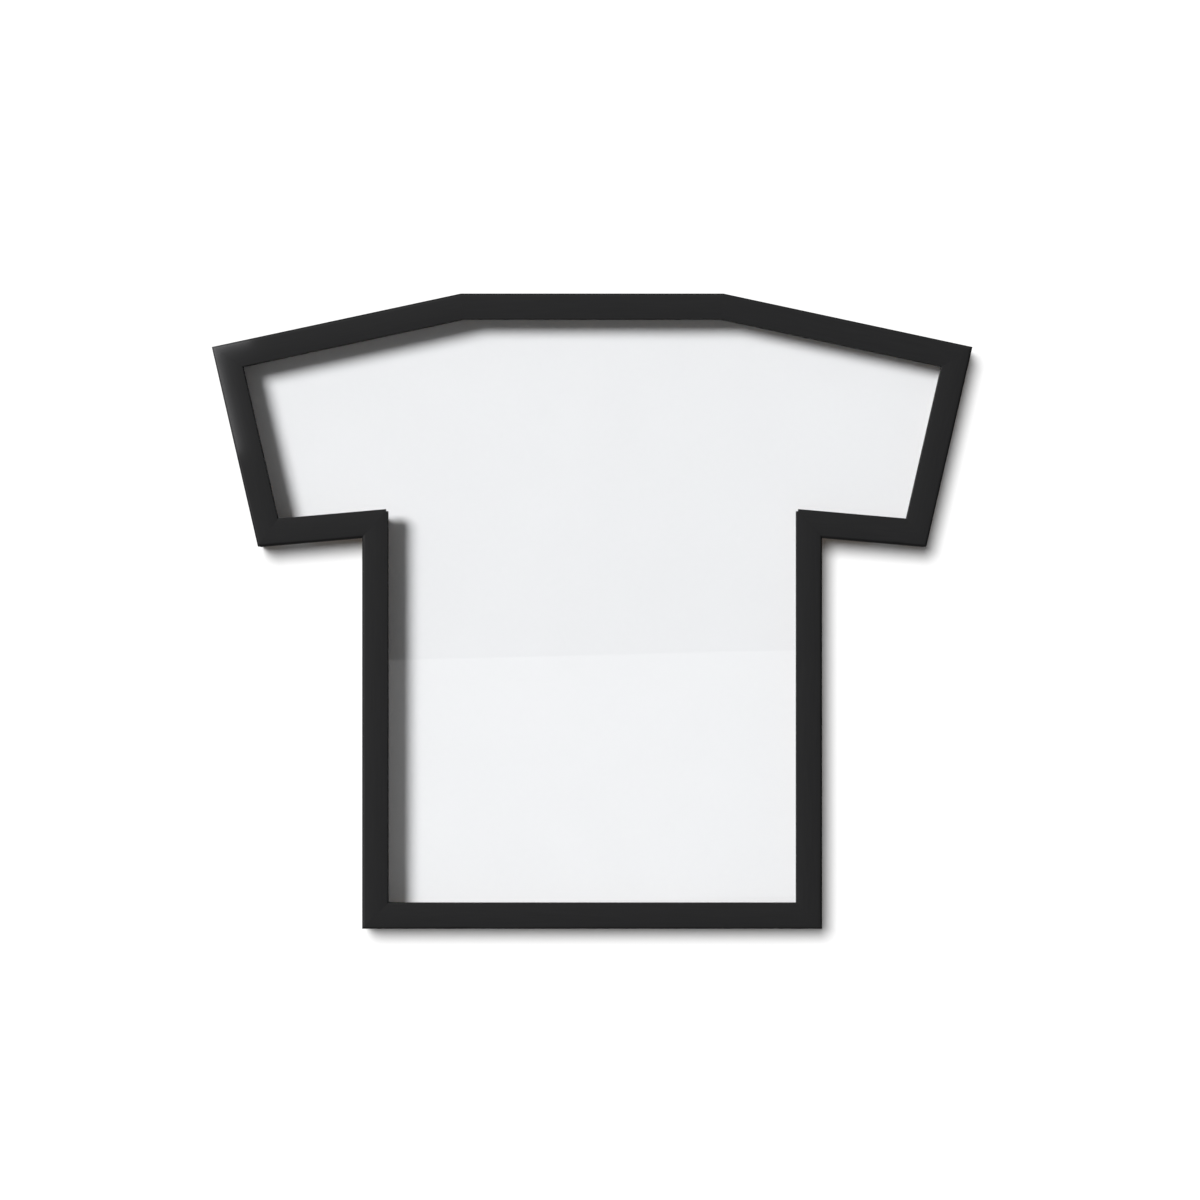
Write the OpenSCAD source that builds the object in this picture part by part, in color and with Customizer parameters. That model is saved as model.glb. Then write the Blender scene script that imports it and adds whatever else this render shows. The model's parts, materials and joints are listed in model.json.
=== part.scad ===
// Jersey display frame: mitred rails in the outline of a short-sleeved shirt, with a clear
// window, spacer strips, a shirt-form panel and a back cover held by turn buttons.
// It hangs on a wall. The origin is on the wall plane, midway between the two hangers and level
// with the tops of their notches. +X is to the viewer's right, +Y runs into the wall, +Z is up.

/* [Outline] */
// Width over the two sleeve tips
overall_w = 655; // [560:1:790]
// Height from the neck to the bottom
overall_h = 547; // [440:1:680]
// Width of the level neck
neck_w = 226; // [180:1:280]
// Fall from the neck to a sleeve tip
shoulder_drop = 46; // [30:1:60]
// Width of the torso
torso_w = 396; // [320:1:440]
// Fall from the neck to an armpit
armpit_drop = 210; // [170:1:260]
// Lean of a sleeve's end from upright, in degrees
sleeve_end_lean = 13; // [5:0.5:18]
// Slope of a sleeve's underside, in degrees
sleeve_underside_slope = 5; // [0:0.5:10]

/* [Rail section] */
// Width of a rail's face
rail_w = 22.5; // [20:0.5:30]
// Depth of a rail, front to back
rail_d = 38; // [31:0.5:60]
// Thickness of the lip in front of the window
lip_d = 7; // [4:0.5:9]
// Width of the rabbet behind the lip
rabbet_w = 8; // [6:0.5:9]
// Rise of the crowned face
crown_h = 0.4; // [0.2:0.1:1.5]
// Rounding of the outer front edge
edge_r = 2.5; // [1:0.5:5]
// Rounding of the sight edge
sight_r = 0.8; // [0.3:0.1:1.5]

/* [Filling] */
// Thickness of the clear window
window_t = 2; // [1.5:0.5:3]
// Thickness of a spacer strip
spacer_t = 2.5; // [1.5:0.5:3]
// Thickness of the shirt-form panel
panel_t = 9.5; // [5:0.5:12]
// Thickness of the back cover
cover_t = 3; // [2:0.5:5]

/* [Turn buttons] */
// Width of a turn button
button_w = 10; // [8:0.5:12]
// Reach of a turn button from its screw to its tip
button_reach = 22; // [16:0.5:26]
// Thickness of a turn button
button_t = 1.2; // [0.8:0.1:1.5]
// Radius of a turn-button screw's shank
screw_r = 1.5; // [1:0.1:1.8]
// Radius of a turn-button screw's head
head_r = 3; // [2.5:0.1:4]
// Length of a turn-button screw below its head
screw_l = 14; // [10:0.5:20]

/* [Hanging] */
// Distance between the two hangers
hanger_pitch = 150; // [90:1:170]
// Length of a hanger
hanger_l = 44; // [38:0.5:50]
// Height of a hanger over its teeth
hanger_h = 9.5; // [9:0.5:11]
// Height that a hanger's middle stands off its rail
hanger_rise = 2.2; // [1.5:0.1:2.4]
// Distance between a hanger's two screws
hanger_screw_pitch = 37; // [33:0.5:42]
// Gap that the bumpers keep between the rails and the wall
wall_gap = 4; // [3.9:0.1:6]
// Radius of a bumper
bumper_r = 5; // [3.5:0.5:6]

/* [Fits] */
// Gap around the window in its rabbet
window_gap = 0.5; // [0.2:0.1:1]
// Room around the shirt-form panel for the folded jersey
panel_gap = 2.5; // [1:0.1:4]
// Gap around the back cover in its rabbet
cover_gap = 0.8; // [0.3:0.1:1.5]
// Gap between a spacer strip and the rabbet's wall
spacer_gap = 0.2; // [0.1:0.1:0.5]
// Gap between layers that come apart
layer_gap = 0.1; // [0.05:0.05:0.3]
// Depth of the back cover below the rails' backs
cover_set_in = 0.3; // [0.1:0.1:0.5]
// Running clearance around a turn button's screw
button_clear = 0.08; // [0.05:0.01:0.1]

/* [Hidden] */
$fn = 48;
EPS = 1;

// Depths along Y, from the wall at 0 to the front.
rail_back = -wall_gap;
rail_front = rail_back - rail_d;
lip_back = rail_front + lip_d;
window_back = lip_back + window_t;
cover_back = rail_back - cover_set_in;
cover_front = cover_back - cover_t;
panel_back = cover_front - layer_gap;
panel_front = panel_back - panel_t;
spacer_back = panel_front - layer_gap;
land_w = rail_w - rabbet_w;

// The outer outline, clockwise from the neck's left end, as [x, z].
tooth_d = 1.6;
top_z = land_w / 2 + hanger_h / 2 - tooth_d;
armpit_z = top_z - armpit_drop;
function mirrored(p) = [-p.x, p.y];
function unit(v) = v / norm(v);
function meet(p, a, q, b) = p + a * cross(q - p, b) / cross(a, b);
neck_end = [neck_w / 2, top_z];
sleeve_tip = [overall_w / 2, top_z - shoulder_drop];
armpit = [torso_w / 2, armpit_z];
hem = [torso_w / 2, top_z - overall_h];
sleeve_bottom = meet(sleeve_tip, [-sin(sleeve_end_lean), -cos(sleeve_end_lean)],
                     armpit, [cos(sleeve_underside_slope), -sin(sleeve_underside_slope)]);
OUTLINE = [mirrored(neck_end), neck_end, sleeve_tip, sleeve_bottom, armpit, hem,
           mirrored(hem), mirrored(armpit), mirrored(sleeve_bottom), mirrored(sleeve_tip)];
CORNERS = len(OUTLINE);

function point(i) = OUTLINE[i % CORNERS];
function along(i) = unit(point(i + 1) - point(i));
function inward(i) = [along(i).y, -along(i).x];
function edge_l(i) = norm(point(i + 1) - point(i));
function edge_turn(i) = atan2(along(i).y, along(i).x);
function mitre(i) = let (a = inward(i + CORNERS - 1), b = inward(i)) (a + b) / (1 + a * b);
function corner(i, inset) = point(i) + inset * mitre(i);
function outline(inset) = [for (i = [0:CORNERS - 1]) corner(i, inset)];

// One rail, one spacer and one mitre belong to each edge of the outline, in the same order.
EDGES = ["neck", "right_shoulder", "right_sleeve_end", "right_sleeve_underside", "right_side",
         "bottom", "left_side", "left_sleeve_underside", "left_sleeve_end", "left_shoulder"];
NECK = 0;
// Turn buttons: name, edge, place along the edge, and 1 if parked clockwise or -1 if not.
BUTTONS = [["neck_button", 0, 1/2, 1],
           ["right_shoulder_button", 1, 1/2, 1],
           ["right_sleeve_end_button", 2, 1/2, 1],
           ["right_sleeve_underside_button", 3, 1/4, 1],
           ["right_side_upper_button", 4, 1/4, 1],
           ["right_side_lower_button", 4, 3/4, 1],
           ["bottom_right_button", 5, 1/4, 1],
           ["bottom_left_button", 5, 3/4, -1],
           ["left_side_lower_button", 6, 1/4, -1],
           ["left_side_upper_button", 6, 3/4, -1],
           ["left_sleeve_underside_button", 7, 3/4, -1],
           ["left_sleeve_end_button", 8, 1/2, -1],
           ["left_shoulder_button", 9, 1/2, -1]];
SIDES = ["left", "right"];

// The corner nails: two V-shaped nails across each mitre, flush with the rails' backs.
nail_leg = 4.5;
nail_t = 0.5;
nail_spread = 60;
nail_depth = 10;
nail_margin = 5;
NAIL_INSETS = [nail_margin, land_w - nail_margin];

// The crowned face is an arc across the rail's full width.
crown_r = (pow(rail_w / 2, 2) + pow(crown_h, 2)) / (2 * crown_h);
crown_centre = [rail_front + crown_r, -rail_w / 2];

head_h = 1.7;
recess_w = 0.8;
recess_l = 3.2;
recess_d = 0.9;
screw_tip_l = 3;
hanger_t = 0.9;
hanger_joggle = 3;
hanger_tab_margin = 3.5;
hanger_tab_l = (hanger_l - hanger_screw_pitch) / 2 + hanger_tab_margin;
hanger_screw_r = 1.2;
hanger_head_r = 2.2;
hanger_head_h = 1.2;
hanger_screw_l = 10;
TEETH = 9;
tooth_pitch = 3;
bumper_margin = 22;
bumper_top_r = bumper_r / 2;
tight = 0.02; // gap around a screw in the hole it is driven into

// Moves what is drawn on a level rail, along +X with its outer edge at z = 0, to edge i.
module on_edge(i) {
    translate([point(i).x, 0, point(i).y]) rotate([0, -edge_turn(i), 0]) children();
}

// Extrudes a [y, z] profile along +X.
module along_x(length) {
    rotate([90, 0, 90]) linear_extrude(length) children();
}

// Extrudes an [x, z] outline from y0 back to y1.
module through_y(y0, y1) {
    translate([0, y1, 0]) rotate([90, 0, 0]) linear_extrude(y1 - y0) children();
}

// The space between the two mitres of edge i.
module mitred(i) {
    reach = rail_w + EPS;
    through_y(rail_front - EPS, rail_back + EPS)
        polygon([corner(i, -EPS), corner(i + 1, -EPS), corner(i + 1, reach), corner(i, reach)]);
}

// What a round-over of radius r about centre c takes off, between directions a and b.
module round_off(c, a, b, r) {
    difference() {
        polygon([c, c + 2 * r * a, c + 3 * r * (a + b), c + 2 * r * b]);
        translate(c) circle(r);
    }
}

// Centre of a round-over that meets both the crown and a side at height z.
function blend_centre(z, r) =
    [crown_centre.x - sqrt(pow(crown_r - r, 2) - pow(z - crown_centre.y, 2)), z];

module rail_profile() {
    outer = blend_centre(-edge_r, edge_r);
    sight = blend_centre(sight_r - rail_w, sight_r);
    difference() {
        intersection() {
            translate([rail_front, -rail_w]) square([rail_d, rail_w]);
            translate(crown_centre) circle(crown_r);
        }
        round_off(outer, unit(outer - crown_centre), [0, 1], edge_r);
        round_off(sight, unit(sight - crown_centre), [0, -1], sight_r);
        translate([lip_back, -rail_w - EPS])
            square([rail_back + EPS - lip_back, rabbet_w + EPS]);
    }
}

module rail(i) {
    color("#222224") difference() {
        intersection() {
            on_edge(i) translate([-rail_w, 0, 0])
                along_x(edge_l(i) + 2 * rail_w) rail_profile();
            mitred(i);
        }
        for (c = [i, i + 1]) corner_nail_pair(c, EPS);
        for (b = BUTTONS) if (b[1] == i)
            at_button(b) drilled(screw_r, screw_l - button_t - 2 * layer_gap);
        if (i == NECK) for (s = [-1, 1]) at_hanger(s) for (t = [-1, 1])
            translate([t * hanger_screw_pitch / 2, 0, 0])
                drilled(hanger_screw_r, hanger_screw_l - hanger_t);
    }
}

// A pilot hole from the rails' backs, along -Y.
module drilled(r, depth) {
    translate([0, EPS, 0]) rotate([90, 0, 0]) cylinder(r = r + tight, h = depth + tight + EPS);
}

module corner_nail_pair(i, past = 0) {
    turn = atan2(mitre(i).y, mitre(i).x);
    for (inset = NAIL_INSETS)
        translate([corner(i, inset).x, 0, corner(i, inset).y])
            rotate([0, -turn, 0])
                through_y(rail_back - nail_depth, rail_back + past)
                    for (s = [-1, 1]) rotate(s * nail_spread)
                        translate([-nail_t / 2, -nail_t / 2]) square([nail_leg, nail_t]);
}

module corner_nails() {
    color("#a8a8a6") for (i = [0:CORNERS - 1]) corner_nail_pair(i);
}

module window() {
    color("#dfe6ea", 0.3) through_y(lip_back, window_back) polygon(outline(land_w + window_gap));
}

module spacer(i) {
    color("#2b2b2d") intersection() {
        on_edge(i) translate([-rail_w, window_back, -land_w - spacer_gap - spacer_t])
            cube([edge_l(i) + 2 * rail_w, spacer_back - window_back, spacer_t]);
        mitred(i);
    }
}

module shirt_panel() {
    color("#f4f4f2") through_y(panel_front, panel_back) polygon(outline(land_w + panel_gap));
}

module back_cover() {
    color("#8a6a48") through_y(cover_front, cover_back) polygon(outline(land_w + cover_gap));
}

// Puts what is drawn about a turn button's screw, parked along +X, at button b.
module at_button(b) {
    on_edge(b[1]) translate([b[2] * edge_l(b[1]), rail_back, -land_w / 2])
        rotate([0, b[3] > 0 ? 0 : 180, 0]) children();
}

module turn_button(b) {
    color("#b4b5b7") at_button(b) through_y(layer_gap, layer_gap + button_t) difference() {
        union() {
            circle(button_w / 2);
            translate([0, -button_w / 2]) square([button_reach - button_w / 2, button_w]);
            translate([button_reach - button_w / 2, 0]) circle(button_w / 2);
        }
        circle(screw_r + button_clear);
    }
}

// A round-headed wood screw along -Y with the underside of its head at y = 0.
module wood_screw(r, length, cap_r, cap_h) {
    dome_r = (pow(cap_r, 2) + pow(cap_h, 2)) / (2 * cap_h);
    rotate([-90, 0, 0]) {
        difference() {
            rotate_extrude() intersection() {
                translate([0, cap_h - dome_r]) circle(dome_r);
                square([cap_r, cap_h]);
            }
            for (a = [0, 90]) rotate(a)
                translate([-recess_l * cap_r / head_r / 2, -recess_w / 2, cap_h - recess_d])
                    cube([recess_l * cap_r / head_r, recess_w, recess_d + EPS]);
        }
        translate([0, 0, screw_tip_l - length]) cylinder(r = r, h = length - screw_tip_l);
        translate([0, 0, -length]) cylinder(r1 = r / 4, r2 = r, h = screw_tip_l);
    }
}

module button_screws() {
    color("#c2c3c5") for (b = BUTTONS)
        at_button(b) translate([0, button_t + 2 * layer_gap, 0])
            wood_screw(screw_r, screw_l, head_r, head_h);
}

// Puts what is drawn about a hanger's middle, on the rails' backs, at side s.
module at_hanger(s) {
    translate([s * hanger_pitch / 2, rail_back, top_z - land_w / 2]) children();
}

// A strip with flat tabs and a raised middle, whose lower edge is notched for the nail.
module hanger(s) {
    half = hanger_l / 2;
    inner = half - hanger_tab_l;
    flat_y = hanger_rise;
    upper = [[-half, hanger_t], [-inner, hanger_t], [hanger_joggle - inner, flat_y + hanger_t],
             [inner - hanger_joggle, flat_y + hanger_t], [inner, hanger_t], [half, hanger_t]];
    lower = [[half, 0], [inner, 0], [inner - hanger_joggle, flat_y],
             [hanger_joggle - inner, flat_y], [-inner, 0], [-half, 0]];
    color("#b9b7b0") at_hanger(s) difference() {
        translate([0, 0, -hanger_h / 2]) linear_extrude(hanger_h) polygon(concat(upper, lower));
        for (t = [-1, 1]) translate([t * hanger_screw_pitch / 2, -EPS, 0])
            rotate([-90, 0, 0]) cylinder(r = hanger_screw_r + tight, h = hanger_t + 2 * EPS);
        through_y(-EPS, flat_y + hanger_t + EPS) for (k = [0:TEETH - 1])
            translate([(k - (TEETH - 1) / 2) * tooth_pitch, -hanger_h / 2])
                polygon([[-tooth_pitch / 2, -EPS], [-tooth_pitch / 2, 0], [0, tooth_d],
                         [tooth_pitch / 2, 0], [tooth_pitch / 2, -EPS]]);
    }
}

module hanger_screws() {
    color("#c2c3c5") for (s = [-1, 1]) at_hanger(s) for (t = [-1, 1])
        translate([t * hanger_screw_pitch / 2, hanger_t, 0])
            wood_screw(hanger_screw_r, hanger_screw_l, hanger_head_r, hanger_head_h);
}

// A self-adhesive domed bumper near a lower corner, up to the wall plane.
module bumper(s) {
    dome_r = bumper_r - bumper_top_r;
    color("#3a3a3c") translate([s * (torso_w / 2 - bumper_margin), rail_back,
                                top_z - overall_h + land_w / 2])
        rotate([-90, 0, 0]) rotate_extrude() {
            square([bumper_top_r, wall_gap]);
            square([bumper_r, wall_gap - dome_r]);
            translate([bumper_top_r, wall_gap - dome_r]) intersection() {
                circle(dome_r);
                square(dome_r);
            }
        }
}

for (i = [0:CORNERS - 1]) {
    rail(i);
    spacer(i);
}
corner_nails();
window();
shirt_panel();
back_cover();
for (b = BUTTONS) turn_button(b);
button_screws();
for (k = [0, 1]) {
    hanger(2 * k - 1);
    bumper(2 * k - 1);
}
hanger_screws();
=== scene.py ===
# Looks for the jersey display frame: mitred black mouldings in a shirt's outline, a clear window,
# spacers, a white form panel, a hardboard back and its turn buttons, screws, hangers and bumpers.
# Sizes are in metres. +X is to the viewer's right, +Y runs into the wall and +Z is up.
import json
import math

import bmesh
import bpy
from bpy.props import FloatProperty, FloatVectorProperty, IntProperty, PointerProperty
from mathutils import Matrix, Vector


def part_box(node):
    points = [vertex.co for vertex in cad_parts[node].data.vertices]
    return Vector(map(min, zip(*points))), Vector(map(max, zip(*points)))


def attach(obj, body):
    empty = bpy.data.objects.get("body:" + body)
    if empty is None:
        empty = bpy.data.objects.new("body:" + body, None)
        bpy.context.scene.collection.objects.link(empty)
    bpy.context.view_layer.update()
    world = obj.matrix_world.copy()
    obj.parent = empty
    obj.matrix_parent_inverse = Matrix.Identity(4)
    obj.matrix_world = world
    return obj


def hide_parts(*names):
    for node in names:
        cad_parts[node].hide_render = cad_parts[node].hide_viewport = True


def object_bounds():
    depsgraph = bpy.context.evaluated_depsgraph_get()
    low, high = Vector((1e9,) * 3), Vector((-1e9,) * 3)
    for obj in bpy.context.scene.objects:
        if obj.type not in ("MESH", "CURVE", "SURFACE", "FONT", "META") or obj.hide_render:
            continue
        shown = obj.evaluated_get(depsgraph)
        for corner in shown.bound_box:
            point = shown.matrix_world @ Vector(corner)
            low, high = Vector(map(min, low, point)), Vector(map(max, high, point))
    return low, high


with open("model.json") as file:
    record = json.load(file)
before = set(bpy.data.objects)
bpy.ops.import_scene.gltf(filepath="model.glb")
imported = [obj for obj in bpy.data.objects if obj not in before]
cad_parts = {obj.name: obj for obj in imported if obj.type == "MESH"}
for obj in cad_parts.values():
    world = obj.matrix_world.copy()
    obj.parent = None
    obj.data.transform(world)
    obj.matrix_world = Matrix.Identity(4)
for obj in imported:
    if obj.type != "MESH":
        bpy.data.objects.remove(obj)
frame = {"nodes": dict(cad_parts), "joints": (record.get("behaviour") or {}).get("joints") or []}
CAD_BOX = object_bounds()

bl_info = {
    "name": "Jersey display frame",
    "version": (1, 0, 0),
    "blender": (4, 5, 0),
    "location": "3D View > Sidebar > Display frame",
    "description": "Builds a wall frame in a shirt's outline around its packed solids",
    "category": "Add Mesh",
}

MM = 0.001
TOUCH = 0.01 * MM

# ---------------------------------------------------------------- sizes taken from the solids


def low(node):
    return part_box(node)[0]


def high(node):
    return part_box(node)[1]


def solid_points(node):
    return [vertex.co for vertex in frame["nodes"][node].data.vertices]


FRONT = low("neck_rail").y
BACK = high("neck_rail").y
TOP = high("neck_rail").z
RAIL_W = TOP - low("neck_rail").z
LAND_W = TOP - min(p.z for p in solid_points("neck_rail") if p.y > BACK - TOUCH)
LIP_BACK = low("window").y
ARMPIT = max(p.z for p in solid_points("right_side_rail")
             if p.x > high("right_side_rail").x - TOUCH)


def mirrored(p):
    return Vector((-p.x, p.y))


NECK_END = Vector((high("neck_rail").x, TOP))
SLEEVE_TIP = Vector((high("right_sleeve_end_rail").x, high("right_sleeve_end_rail").z))
SLEEVE_BOTTOM = Vector((high("right_sleeve_underside_rail").x, low("right_sleeve_end_rail").z))
ARMPIT_END = Vector((high("right_side_rail").x, ARMPIT))
HEM = Vector((high("right_side_rail").x, low("bottom_rail").z))

# The outer outline as (x, z) points, clockwise from the neck's left end, and its edges' names.
RIGHT_HALF = [NECK_END, SLEEVE_TIP, SLEEVE_BOTTOM, ARMPIT_END, HEM]
OUTLINE = [mirrored(NECK_END)] + RIGHT_HALF + [mirrored(p) for p in RIGHT_HALF[:0:-1]]
EDGES = ["neck", "right_shoulder", "right_sleeve_end", "right_sleeve_underside", "right_side",
         "bottom", "left_side", "left_sleeve_underside", "left_sleeve_end", "left_shoulder"]
BUTTONS = [joint for joint in frame["joints"] if joint["type"] == "hinge"]


def point(i):
    return OUTLINE[i % len(OUTLINE)]


def along(i):
    return (point(i + 1) - point(i)).normalized()


def inward(i):
    return Vector((along(i).y, -along(i).x))


def mitre(i):
    before = inward(i - 1)
    after = inward(i)
    return (before + after) / (1 + before.dot(after))


def corner(i, inset):
    return point(i) + inset * mitre(i)


def turned_along(direction):
    """The turn that lays +X along a direction in the frame's plane, with +Y kept."""
    return Matrix.Rotation(-math.atan2(direction.y, direction.x), 4, "Y")


def on_edge(i):
    """From a level rail's own space, with its outer edge on the X axis, to edge i."""
    return Matrix.Translation((point(i).x, 0, point(i).y)) @ turned_along(along(i))


# ---------------------------------------------------------------- sizes and colours to change


def length(name, description, millimetres):
    return FloatProperty(name=name, description=description, default=millimetres * MM,
                         min=0.0, precision=5, subtype="DISTANCE", unit="LENGTH")


def colour(name, description, default):
    return FloatVectorProperty(name=name, description=description, default=default,
                               size=3, min=0.0, max=1.0, subtype="COLOR")


class FrameSettings(bpy.types.PropertyGroup):
    """Mouldings, window and spacers."""

    crown: length("Crown", "Rise of a moulding's crowned face", 0.4)
    outer_round: length("Outer edge", "Radius of the outer front edge", 2.5)
    sight_round: length("Sight edge", "Radius of the edge beside the window", 0.8)
    back_round: length("Back edges", "Radius of the edges at the back", 0.5)
    mitre_ease: length("Mitre ease", "Width of the fine bevel along each mitre", 0.06)
    paint: colour("Paint", "Colour of the satin paint", (0.0125, 0.0125, 0.0130))
    # The lighter edge colour stands partly for paint worn by rubbing and partly for a painted
    # highlight along the arrises; the back's overspray uses it too.
    rubbed_and_highlit: colour("Rubbed and highlit paint", "Colour of the paint along the edges", (0.019, 0.019, 0.0195))
    bare_wood: colour("Bare wood", "Colour of the unpainted back", (0.42, 0.275, 0.145))
    window_tint: colour("Window tint", "Tint of the clear sheet", (0.990, 0.992, 0.992))


class BackSettings(bpy.types.PropertyGroup):
    """Form panel and back cover."""

    liner: length("Liner", "Thickness of the panel's paper liners", 0.4)
    sheet_ease: length("Sheet edge", "Bevel along the edges of the sheets", 0.2)
    paper: colour("Paper", "Colour of the panel's paper", (0.834, 0.841, 0.856))
    foam: colour("Foam", "Colour of the panel's core", (0.80, 0.80, 0.79))
    hardboard: colour("Hardboard", "Colour of the back cover", (0.235, 0.130, 0.066))


class HardwareSettings(bpy.types.PropertyGroup):
    """Turn buttons, screws, hangers, bumpers and nails."""

    button_ease: length("Button edge", "Rounding of a turn button's edges", 0.25)
    tip_lift: length("Tip lift", "Height that a button's tip is turned up", 0.6)
    bore_r: length("Bore radius", "Radius of a turn button's bore", 1.58)
    shank_r: length("Shank radius", "Radius of a turn-button screw's shank", 1.5)
    hanger_shank_r: length("Hanger shank radius", "Radius of a hanger screw's shank", 1.2)
    hanger_t: length("Hanger thickness", "Thickness of a hanger's strip", 0.9)
    hanger_ease: length("Hanger edge", "Rounding of a hanger's edges", 0.12)
    facets: IntProperty(name="Facets", description="Sides of a turned piece", default=40,
                        min=12, max=96)
    zinc: colour("Zinc", "Colour of the plated steel", (0.60, 0.61, 0.63))
    passivated: colour("Passivated zinc", "Colour of the hangers' plating", (0.60, 0.545, 0.42))
    nail_steel: colour("Nail steel", "Colour of the corner nails", (0.40, 0.40, 0.395))
    rubber: colour("Rubber", "Colour of the bumpers", (0.032, 0.032, 0.034))


class StageSettings(bpy.types.PropertyGroup):
    """Floor, wall, lights and camera."""

    camera_x: length("Camera side", "Camera's place along X", 6.8)
    camera_z: length("Camera height", "Camera's height from the hangers", -253.5)
    camera_distance: length("Camera distance", "From the camera to the front face", 3211.6)
    lens: FloatProperty(name="Lens", description="Focal length in millimetres", default=112.0,
                        min=1.0)
    floor_z: length("Floor", "Height of the floor from the hangers", -800.0)
    key_strength: FloatProperty(name="Key", description="Strength of the main light",
                                default=4.22, min=0.0)
    wall_strength: FloatProperty(name="Wall light", description="Strength of the wall's light",
                                 default=3.8, min=0.0)
    floor_strength: FloatProperty(name="Floor light", description="Strength of the floor's light",
                                  default=2.0, min=0.0)
    back_power: FloatProperty(name="Back power", description="Power of each light behind",
                              default=30.0, min=0.0, subtype="POWER", unit="POWER")
    card_power: FloatProperty(name="Card power", description="Power of the reflected card",
                              default=0.45, min=0.0, subtype="POWER", unit="POWER")
    glow_power: FloatProperty(name="Corner glow", description="Watts in a metre of corner light",
                              default=0.13, min=0.0)
    ambient: FloatProperty(name="Ambient", description="Strength of the light all around",
                           default=0.15, min=0.0)
    pale: colour("Pale", "Colour of the floor and the wall", (0.86, 0.86, 0.86))


# ---------------------------------------------------------------- node helpers


def put(tree, kind, links=None, **values):
    """Adds a shader node, sets its sockets and settings by name, and links sockets to it."""
    node = tree.nodes.new("ShaderNode" + kind)
    for name, value in values.items():
        if name in node.inputs:
            node.inputs[name].default_value = value
        else:
            setattr(node, name, value)
    for socket, source in (links or {}).items():
        tree.links.new(source, node.inputs[socket])
    return node


def calc(tree, operation, first, second):
    """One sum or product of two sockets or numbers."""
    node = tree.nodes.new("ShaderNodeMath")
    node.operation = operation
    for socket, value in zip(node.inputs, (first, second)):
        if isinstance(value, bpy.types.NodeSocket):
            tree.links.new(value, socket)
        else:
            socket.default_value = value
    return node.outputs[0]


def spread(tree, value, start, end, lowest=0.0, highest=1.0):
    """Maps the stretch from start to end onto lowest to highest, and holds it there."""
    made = put(tree, "MapRange", {"Value": value}, clamp=True)
    for name, number in (("From Min", start), ("From Max", end),
                         ("To Min", lowest), ("To Max", highest)):
        made.inputs[name].default_value = number
    return made.outputs["Result"]


def tinted(tree, factor, first, second):
    """A colour between two, each a colour or a socket."""
    node = tree.nodes.new("ShaderNodeMix")
    node.data_type = "RGBA"
    tree.links.new(factor, node.inputs[0])
    for socket, value in zip((node.inputs[6], node.inputs[7]), (first, second)):
        if isinstance(value, bpy.types.NodeSocket):
            tree.links.new(value, socket)
        else:
            socket.default_value = (*value, 1.0)
    return node.outputs[2]


def raised(tree, height, depth, under=None):
    """A bump of that depth in metres, laid over another normal if one is given."""
    links = {"Height": height}
    if under is not None:
        links["Normal"] = under
    return put(tree, "Bump", links, Strength=1.0, Distance=depth).outputs["Normal"]


def new_group(name, outputs):
    """A shader node group that takes a vector and a scale and puts out grey values."""
    tree = bpy.data.node_groups.new(name, "ShaderNodeTree")
    tree.interface.new_socket("Vector", in_out="INPUT", socket_type="NodeSocketVector")
    scale = tree.interface.new_socket("Scale", in_out="INPUT", socket_type="NodeSocketFloat")
    scale.default_value = 1.0
    for output in outputs:
        tree.interface.new_socket(output, in_out="OUTPUT", socket_type="NodeSocketFloat")
    taken = tree.nodes.new("NodeGroupInput")
    scaled = put(tree, "VectorMath", {0: taken.outputs["Vector"], "Scale": taken.outputs["Scale"]},
                 operation="SCALE").outputs[0]
    return tree, scaled, tree.nodes.new("NodeGroupOutput")


def stretched(tree, vector, stretch, turn=(0.0, 0.0, 0.0)):
    return put(tree, "Mapping", {"Vector": vector}, Scale=stretch, Rotation=turn).outputs[0]


def noise(tree, vector, scale, detail=3.0, rough=0.55, distortion=0.0):
    return put(tree, "TexNoise", {"Vector": vector}, Scale=scale, Detail=detail,
               Roughness=rough, Distortion=distortion).outputs["Fac"]


def grain_group():
    """Wood grain along X: soft streaks, and the fine pores between them."""
    tree, vector, out = new_group("Grain along a rail", ["Streaks", "Pores"])
    streaks = noise(tree, stretched(tree, vector, (0.035, 1.0, 1.0)), 1.0, 5.0, 0.6, 0.6)
    pores = noise(tree, stretched(tree, vector, (0.05, 3.4, 3.4)), 1.0, 2.0)
    tree.links.new(spread(tree, streaks, 0.3, 0.7), out.inputs["Streaks"])
    tree.links.new(spread(tree, pores, 0.56, 0.70), out.inputs["Pores"])
    return tree


def handling_group():
    """What handling leaves: broad blotches, and sparse specks of dust."""
    tree, vector, out = new_group("Handling marks", ["Blotches", "Specks"])
    blotches = noise(tree, vector, 1.0, 4.0, 0.6, 0.4)
    cells = put(tree, "TexVoronoi", {"Vector": vector}, Scale=9.0)
    speck = spread(tree, cells.outputs["Distance"], 0.06, 0.16, 1.0, 0.0)
    rare = spread(tree, noise(tree, vector, 2.3, 2.0), 0.52, 0.66)
    tree.links.new(spread(tree, blotches, 0.3, 0.7), out.inputs["Blotches"])
    tree.links.new(calc(tree, "MULTIPLY", speck, rare), out.inputs["Specks"])
    return tree


def fibre_group():
    """Short fibres or fine scratches that lie every way."""
    tree, vector, out = new_group("Crossed fibres", ["Fibres", "Fuzz"])
    crossed = None
    for turn in (0.35, 1.45, 2.55):
        bent = stretched(tree, vector, (1.0, 1.0, 1.0), (turn / 2, turn, turn * 1.7))
        lain = spread(tree, noise(tree, stretched(tree, bent, (0.12, 1.6, 1.6)), 1.0, 2.0),
                      0.56, 0.72)
        crossed = lain if crossed is None else calc(tree, "MAXIMUM", crossed, lain)
    tree.links.new(crossed, out.inputs["Fibres"])
    tree.links.new(noise(tree, vector, 2.0, 5.0, 0.65), out.inputs["Fuzz"])
    return tree


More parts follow.
